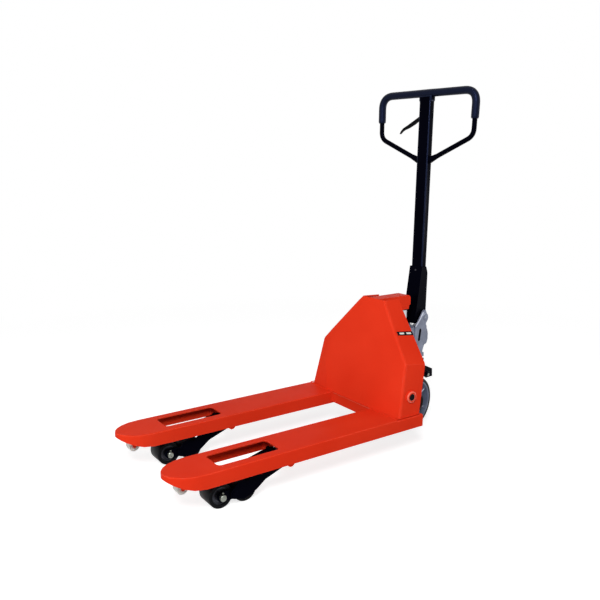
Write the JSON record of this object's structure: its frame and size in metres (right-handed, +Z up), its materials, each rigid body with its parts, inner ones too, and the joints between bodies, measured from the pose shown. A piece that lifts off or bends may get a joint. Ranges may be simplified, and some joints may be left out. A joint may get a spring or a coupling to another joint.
{
  "type": "hand pallet truck",
  "caption": "Hand pallet truck with short red channel forks on load rollers, a bent-sheet head, a grey hand pump on steered wheels and a black tiller with a loop handle.",
  "frame": {"origin": "On the floor plane under the wheels, at the middle of the overall width and length.", "axes": "+X to the right-hand fork when looking along +Y, across the forks; the forks point along -Y and the tiller stands at +Y; +Z up."},
  "size_m": [0.54, 1.295, 1.313],
  "materials": {
    "black_paint": "semi-gloss black coat",
    "black_plastic": "satin black moulding",
    "black_tread": "satin black polyurethane or rubber tread",
    "bright_zinc": "bright zinc plate",
    "cast_grey": "grey painted casting",
    "chassis_paint": "gloss orange-red powder coat",
    "grip_coating": "satin blue-black dipped grip",
    "hard_chrome": "hard chrome, polished",
    "plain_steel": "bare steel, lightly oiled",
    "rim_grey": "grey painted rim",
    "spring_steel": "dark spring steel",
    "white_nylon": "translucent white nylon"
  },
  "bodies": {
    "chassis": {"fork_left": "chassis_paint", "fork_right": "chassis_paint", "head_plate": "chassis_paint", "ram_bracket": "chassis_paint", "cross_member": "chassis_paint", "pivot_boss_left": "chassis_paint", "boss_plug_left": "black_plastic", "pivot_boss_right": "chassis_paint", "boss_plug_right": "black_plastic", "frame_pin_left": "plain_steel", "frame_pin_right": "plain_steel", "piston_rod": "hard_chrome", "rating_plate": "black_plastic"},
    "carriage": {"thrust_plate": "black_paint"},
    "steering": {"pump_body": "cast_grey", "gland_nut": "plain_steel", "plunger_spring": "spring_steel", "wheel_carrier": "cast_grey", "wheel_axle": "plain_steel", "valve_bracket": "black_paint", "tiller_pin": "bright_zinc"},
    "plunger": {"plunger_cap": "cast_grey"},
    "valve_lever": {"valve_lever": "black_paint"},
    "release_chain": {"release_chain": "bright_zinc"},
    "tiller": {"tiller_sleeve": "black_paint", "tiller_tube": "black_paint", "handle_loop": "black_paint", "grip_left": "grip_coating", "grip_right": "grip_coating"},
    "control_lever": {"control_lever": "black_plastic"},
    "release_rod": {"release_rod": "bright_zinc"},
    "rocker": {"rocker": "black_paint"},
    "wheel_left": {"wheel_tread_left": "black_tread", "wheel_rim_left": "rim_grey", "hub_cap_left": "black_plastic"},
    "push_rod_left": {"push_rod_left": "plain_steel"},
    "frame_left": {"roller_frame_left": "black_paint"},
    "link_left": {"roller_link_left_inner": "black_paint", "roller_link_left_outer": "black_paint", "roller_axle_left_front": "bright_zinc", "roller_axle_left_rear": "bright_zinc"},
    "entry_left": {"entry_roller_left": "white_nylon"},
    "roller_left_front": {"roller_tread_left_front": "black_tread", "roller_hub_left_front": "plain_steel"},
    "roller_left_rear": {"roller_tread_left_rear": "black_tread", "roller_hub_left_rear": "plain_steel"},
    "wheel_right": {"wheel_tread_right": "black_tread", "wheel_rim_right": "rim_grey", "hub_cap_right": "black_plastic"},
    "push_rod_right": {"push_rod_right": "plain_steel"},
    "frame_right": {"roller_frame_right": "black_paint"},
    "link_right": {"roller_link_right_inner": "black_paint", "roller_link_right_outer": "black_paint", "roller_axle_right_front": "bright_zinc", "roller_axle_right_rear": "bright_zinc"},
    "entry_right": {"entry_roller_right": "white_nylon"},
    "roller_right_front": {"roller_tread_right_front": "black_tread", "roller_hub_right_front": "plain_steel"},
    "roller_right_rear": {"roller_tread_right_rear": "black_tread", "roller_hub_right_rear": "plain_steel"}
  },
  "joints": [
    {"name": "lift", "type": "slide", "parent": "chassis", "child": "carriage", "axis": [0, 0, -1], "range_m": [-0.061, 0.054]},
    {"name": "steer", "type": "hinge", "parent": "carriage", "child": "steering", "pos_m": [0, 0.4695, 0], "axis": [0, 0, 1], "range_deg": [-111.5, 88.5]},
    {"name": "wheel_left_roll", "type": "hinge", "parent": "steering", "child": "wheel_left", "pos_m": [-0.05243, 0.45883, 0.1], "axis": [0.9799, 0.1994, 0], "continuous": true},
    {"name": "wheel_right_roll", "type": "hinge", "parent": "steering", "child": "wheel_right", "pos_m": [0.05243, 0.48016, 0.1], "axis": [0.9799, 0.1994, 0], "continuous": true},
    {"name": "tiller_tilt", "type": "hinge", "parent": "steering", "child": "tiller", "pos_m": [-0.01914, 0.56357, 0.425], "axis": [-0.9799, -0.1994, 0], "range_deg": [0, 78], "stiffness_Nm_per_rad": 28, "springref_deg": -20.63},
    {"name": "plunger_push", "type": "slide", "parent": "steering", "child": "plunger", "axis": [0, 0, -1], "range_m": [0, 0.0206], "deforming": ["plunger_spring"]},
    {"name": "control_lever_tilt", "type": "hinge", "parent": "tiller", "child": "control_lever", "pos_m": [-0.01486, 0.59272, 1.21852], "axis": [-0.1992, 0.9793, -0.0349], "range_deg": [-10, 10], "stiffness_Nm_per_rad": 1.5},
    {"name": "release_rod_pull", "type": "slide", "parent": "tiller", "child": "release_rod", "axis": [-0.007, 0.0342, 0.9994], "range_m": [-0.005, 0.005]},
    {"name": "release_chain_pull", "type": "slide", "parent": "steering", "child": "release_chain", "axis": [0, 0, 1], "range_m": [-0.005, 0.005]},
    {"name": "valve_lever_tilt", "type": "hinge", "parent": "steering", "child": "valve_lever", "pos_m": [-0.02532, 0.59395, 0.184], "axis": [0.9799, 0.1994, 0], "range_deg": [-7, 7]},
    {"name": "rocker_swing", "type": "hinge", "parent": "chassis", "child": "rocker", "pos_m": [0, 0.2795, 0.215], "axis": [1, 0, 0], "range_deg": [-18.5, 20.5]},
    {"name": "push_rod_left_push", "type": "slide", "parent": "chassis", "child": "push_rod_left", "axis": [0, -1, 0], "range_m": [-0.008, 0.007]},
    {"name": "frame_left_swing", "type": "hinge", "parent": "chassis", "child": "frame_left", "pos_m": [-0.1925, -0.24218, 0.103], "axis": [1, 0, 0], "range_deg": [-18.3, 16.2]},
    {"name": "link_left_level", "type": "hinge", "parent": "frame_left", "child": "link_left", "pos_m": [-0.1925, -0.432, 0.04], "axis": [1, 0, 0], "range_deg": [-16.2, 18.3]},
    {"name": "roller_left_front_roll", "type": "hinge", "parent": "link_left", "child": "roller_left_front", "pos_m": [-0.1925, -0.4745, 0.04], "axis": [1, 0, 0], "continuous": true},
    {"name": "roller_left_rear_roll", "type": "hinge", "parent": "link_left", "child": "roller_left_rear", "pos_m": [-0.1925, -0.3895, 0.04], "axis": [1, 0, 0], "continuous": true},
    {"name": "entry_left_roll", "type": "hinge", "parent": "chassis", "child": "entry_left", "pos_m": [-0.1925, -0.5905, 0.09], "axis": [1, 0, 0], "continuous": true},
    {"name": "push_rod_right_push", "type": "slide", "parent": "chassis", "child": "push_rod_right", "axis": [0, -1, 0], "range_m": [-0.008, 0.007]},
    {"name": "frame_right_swing", "type": "hinge", "parent": "chassis", "child": "frame_right", "pos_m": [0.1925, -0.24218, 0.103], "axis": [1, 0, 0], "range_deg": [-18.3, 16.2]},
    {"name": "link_right_level", "type": "hinge", "parent": "frame_right", "child": "link_right", "pos_m": [0.1925, -0.432, 0.04], "axis": [1, 0, 0], "range_deg": [-16.2, 18.3]},
    {"name": "roller_right_front_roll", "type": "hinge", "parent": "link_right", "child": "roller_right_front", "pos_m": [0.1925, -0.4745, 0.04], "axis": [1, 0, 0], "continuous": true},
    {"name": "roller_right_rear_roll", "type": "hinge", "parent": "link_right", "child": "roller_right_rear", "pos_m": [0.1925, -0.3895, 0.04], "axis": [1, 0, 0], "continuous": true},
    {"name": "entry_right_roll", "type": "hinge", "parent": "chassis", "child": "entry_right", "pos_m": [0.1925, -0.5905, 0.09], "axis": [1, 0, 0], "continuous": true}
  ],
  "couplings": [
    {"joint": "rocker_swing", "follows": "lift", "rad_per_m": -5.6},
    {"joint": "push_rod_left_push", "follows": "lift", "ratio": 0.128},
    {"joint": "frame_left_swing", "follows": "lift", "rad_per_m": 5.15},
    {"joint": "link_left_level", "follows": "lift", "rad_per_m": -5.15},
    {"joint": "push_rod_right_push", "follows": "lift", "ratio": 0.128},
    {"joint": "frame_right_swing", "follows": "lift", "rad_per_m": 5.15},
    {"joint": "link_right_level", "follows": "lift", "rad_per_m": -5.15},
    {"joint": "plunger_push", "follows": "tiller_tilt", "m_per_rad": 0.015},
    {"joint": "release_rod_pull", "follows": "control_lever_tilt", "m_per_rad": 0.028},
    {"joint": "release_chain_pull", "follows": "control_lever_tilt", "m_per_rad": 0.028},
    {"joint": "valve_lever_tilt", "follows": "control_lever_tilt", "ratio": -0.686}
  ]
}
